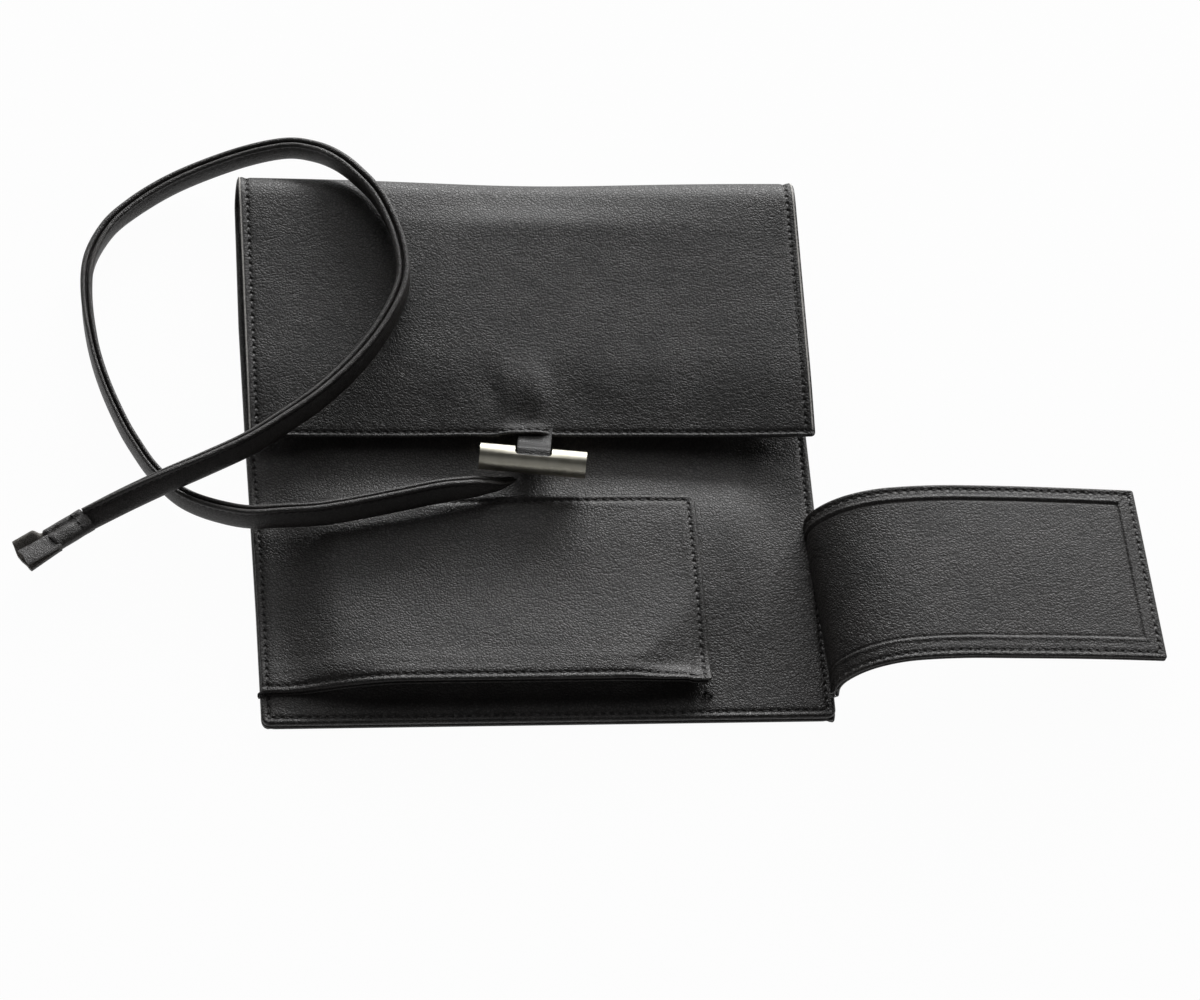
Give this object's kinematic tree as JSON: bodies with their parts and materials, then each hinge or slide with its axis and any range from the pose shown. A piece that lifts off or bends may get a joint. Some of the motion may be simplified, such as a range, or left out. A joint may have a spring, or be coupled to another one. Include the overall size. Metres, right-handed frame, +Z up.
{
  "type": "neck pouch wallet",
  "caption": "Flat leather pouch wallet with a fold-over flap, front pocket, curled side flap, metal toggle and wrap strap.",
  "frame": {"origin": "centre of the pouch's back face, where it lies on the table", "axes": "+X towards the side flap, +Y towards the top fold, +Z up out of the back face"},
  "size_m": [0.3601, 0.2187, 0.0232],
  "materials": {
    "leather_black": "fine-grained nappa, semi-matt",
    "strap_leather": "fine-grained nappa, folded and stitched",
    "lining_grey": "plain woven lining",
    "thread_black": "spun polyester thread",
    "toggle_steel": "polished"
  },
  "bodies": {
    "root": {"back_panel": "leather_black", "back_lining": "lining_grey", "front_panel": "leather_black", "front_lining": "lining_grey", "seam_allowance": "leather_black", "mouth_hem": "leather_black", "pocket_panel": "leather_black", "pocket_hem": "leather_black", "pocket_tacks": "thread_black", "side_root": "leather_black", "side_tacks": "thread_black", "loop_tail": "leather_black", "strap": "strap_leather", "strap_anchor": "strap_leather", "tab_sleeve": "strap_leather", "tab_leaf_upper": "strap_leather", "tab_leaf_lower": "strap_leather"},
    "fold_1": {"fold_strip_1": "leather_black"},
    "fold_2": {"fold_strip_2": "leather_black"},
    "fold_3": {"fold_strip_3": "leather_black"},
    "flap": {"flap_panel": "leather_black", "flap_lining": "lining_grey"},
    "side_1": {"side_bend_1": "leather_black"},
    "side_2": {"side_bend_2": "leather_black"},
    "side_3": {"side_bend_3": "leather_black"},
    "side_flap": {"side_backing": "leather_black", "side_allowance": "leather_black", "side_facing": "leather_black"},
    "loop": {"loop_eye": "leather_black"},
    "toggle": {"toggle_tube": "toggle_steel", "toggle_pin": "toggle_steel", "toggle_plug_left": "toggle_steel", "toggle_plug_right": "toggle_steel"}
  },
  "joints": [
    {"name": "flap_fold_1", "type": "hinge", "parent": "root", "child": "fold_1", "pos_m": [0.0015, 0.09718, 0.00114], "axis": [-1, 0, 0], "range_deg": [0, 45.69]},
    {"name": "flap_fold_2", "type": "hinge", "parent": "fold_1", "child": "fold_2", "pos_m": [0.0015, 0.10092, 0.00497], "axis": [-1, 0, 0], "range_deg": [0, 45.69]},
    {"name": "flap_fold_3", "type": "hinge", "parent": "fold_2", "child": "fold_3", "pos_m": [0.0015, 0.10079, 0.01033], "axis": [-1, 0, 0], "range_deg": [0, 45.69]},
    {"name": "flap_open", "type": "hinge", "parent": "fold_3", "child": "flap", "pos_m": [0.0015, 0.09687, 0.01398], "axis": [-1, 0, 0], "range_deg": [0, 45.69], "deforming": ["strap"]},
    {"name": "side_flap_close", "type": "hinge", "parent": "root", "child": "side_1", "pos_m": [0.09159, -0.09487, 0.00701], "axis": [0.0802, -0.9968, 0], "range_deg": [0, 72]},
    {"name": "side_fold_2", "type": "hinge", "parent": "side_1", "child": "side_2", "pos_m": [0.09514, -0.09459, 0.01401], "axis": [0.0802, -0.9968, 0], "range_deg": [0, 48]},
    {"name": "side_fold_3", "type": "hinge", "parent": "side_2", "child": "side_3", "pos_m": [0.10197, -0.09404, 0.01891], "axis": [0.0802, -0.9968, 0], "range_deg": [0, 38]},
    {"name": "side_fold_4", "type": "hinge", "parent": "side_3", "child": "side_flap", "pos_m": [0.11102, -0.09331, 0.02165], "axis": [0.0802, -0.9968, 0], "range_deg": [0, 19]},
    {"name": "loop_lift", "type": "hinge", "parent": "root", "child": "loop", "pos_m": [0.00116, 0.00071, 0.00835], "axis": [-0.9925, 0.1219, 0], "range_deg": [0, 70]},
    {"name": "toggle_roll", "type": "hinge", "parent": "loop", "child": "toggle", "pos_m": [-0.0003, -0.0112, 0.01355], "axis": [0.9925, -0.1219, 0], "range_deg": [-60, 30]}
  ],
  "couplings": [
    {"joint": "flap_fold_1", "follows": "flap_open", "ratio": 1},
    {"joint": "flap_fold_2", "follows": "flap_open", "ratio": 1},
    {"joint": "flap_fold_3", "follows": "flap_open", "ratio": 1},
    {"joint": "side_fold_2", "follows": "side_flap_close", "ratio": 0.66667},
    {"joint": "side_fold_3", "follows": "side_flap_close", "ratio": 0.52778},
    {"joint": "side_fold_4", "follows": "side_flap_close", "ratio": 0.26389}
  ]
}
